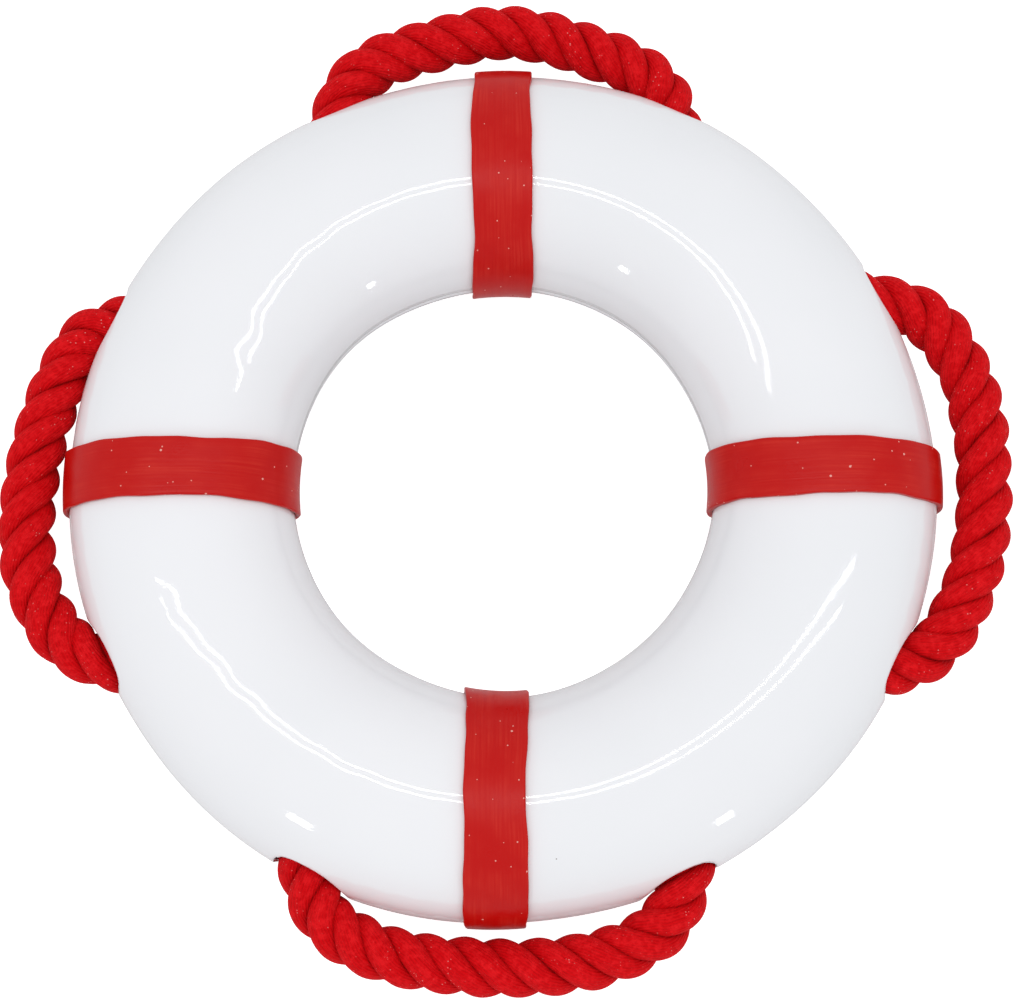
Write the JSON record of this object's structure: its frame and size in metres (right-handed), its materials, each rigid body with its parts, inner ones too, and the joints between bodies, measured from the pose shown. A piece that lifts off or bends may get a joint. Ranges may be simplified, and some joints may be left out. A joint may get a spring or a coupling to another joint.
{
  "type": "ring lifebuoy",
  "caption": "Small white ring lifebuoy with red bands and a thick twisted rope that passes through the body and stands out in grab loops that swing.",
  "frame": {"origin": "centre of the ring, half way between its front and back", "axes": "+Z along the ring's axis towards the front, +X towards the right band, +Y towards the top band"},
  "size_m": [0.4098, 0.4103, 0.0786],
  "materials": {
    "body_white": "glossy moulded skin",
    "foam": "rigid closed-cell foam",
    "sleeve_white": "extruded tube",
    "plug_white": "moulded",
    "band_red": "soft vinyl strap with a satin gloss",
    "rope_red": "soft three-strand rope",
    "binding_black": "heat-shrunk tube"
  },
  "bodies": {
    "ring": {"shell_front": "body_white", "shell_back": "body_white", "foam_core": "foam", "rope_sleeve_upper_right": "sleeve_white", "rope_sleeve_upper_left": "sleeve_white", "rope_sleeve_lower_left": "sleeve_white", "rope_sleeve_lower_right": "sleeve_white", "fill_plug": "plug_white", "vent_plug": "plug_white", "band_right": "band_red", "band_top": "band_red", "band_left": "band_red", "band_bottom": "band_red", "rope_inside_upper_right": "rope_red", "rope_inside_upper_left": "rope_red", "rope_inside_lower_right": "rope_red", "rope_end_from_left_loop": "rope_red", "rope_end_from_bottom_loop": "rope_red", "rope_end_binding": "binding_black"},
    "right_loop": {"rope_loop_right": "rope_red"},
    "top_loop": {"rope_loop_top": "rope_red"},
    "left_loop": {"rope_loop_left": "rope_red"},
    "bottom_loop": {"rope_loop_bottom": "rope_red"}
  },
  "joints": [
    {"name": "right_loop_swing", "type": "hinge", "parent": "ring", "child": "right_loop", "pos_m": [0.15742, 0.00271, 0], "axis": [0.0172, -0.9999, 0], "range_deg": [-15, 15], "stiffness_Nm_per_rad": 1},
    {"name": "top_loop_swing", "type": "hinge", "parent": "ring", "child": "top_loop", "pos_m": [0.00098, 0.16042, 0], "axis": [1, -0.0061, 0], "range_deg": [-15, 15], "stiffness_Nm_per_rad": 1},
    {"name": "left_loop_swing", "type": "hinge", "parent": "ring", "child": "left_loop", "pos_m": [-0.1605, -0.00101, 0], "axis": [-0.0063, 1, 0], "range_deg": [-15, 15], "stiffness_Nm_per_rad": 1},
    {"name": "bottom_loop_swing", "type": "hinge", "parent": "ring", "child": "bottom_loop", "pos_m": [-0.00292, -0.15856, 0], "axis": [-0.9998, 0.0184, 0], "range_deg": [-15, 15], "stiffness_Nm_per_rad": 1}
  ]
}
